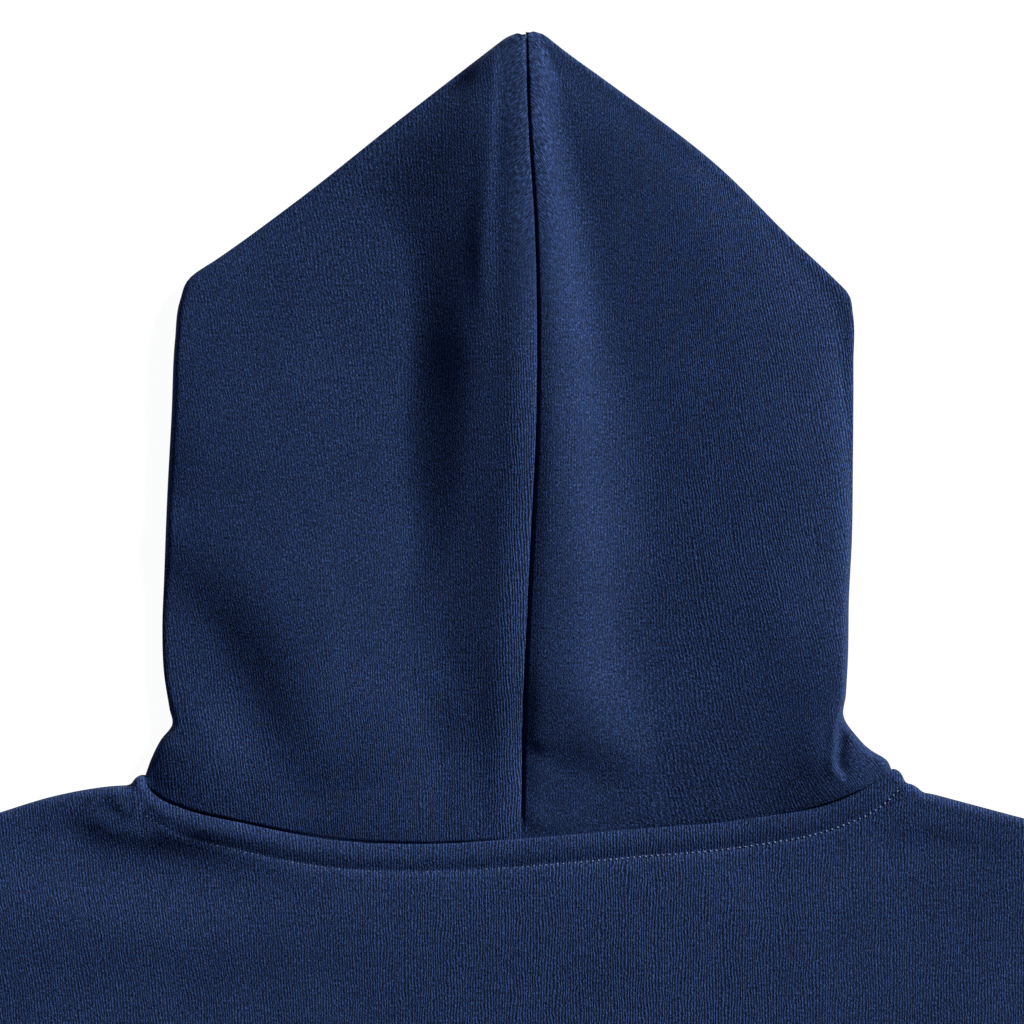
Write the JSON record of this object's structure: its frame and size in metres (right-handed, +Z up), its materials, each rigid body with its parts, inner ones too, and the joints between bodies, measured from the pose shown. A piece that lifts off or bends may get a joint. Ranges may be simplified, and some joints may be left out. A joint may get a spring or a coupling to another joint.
{
  "type": "pullover hoodie",
  "caption": "Plain pullover hoodie in brushed fleece, laid flat with its back up: pointed hood with a centre seam, topstitched neck edge, long sleeves, ribbed cuffs and waistband.",
  "frame": {"origin": "on the resting surface under the chest, 350 mm below the middle of the back neck seam, at the underside of the front panel", "axes": "+Z up out of the laid garment, +Y from hem to hood, +X across the shoulders to the picture's right"},
  "size_m": [1.476, 1.0386, 0.0083],
  "materials": {
    "fleece": "navy brushed fleece, fine vertical knit wales with a short nap",
    "rib": "navy rib knit, matte",
    "thread": "navy polyester topstitching thread, faint sheen"
  },
  "bodies": {
    "root": {"hood_left": "fleece", "hood_right": "fleece", "back": "fleece", "front": "fleece", "sleeve_left": "fleece", "sleeve_right": "fleece", "cuff_left": "rib", "cuff_right": "rib", "waistband": "rib"}
  },
  "joints": []
}
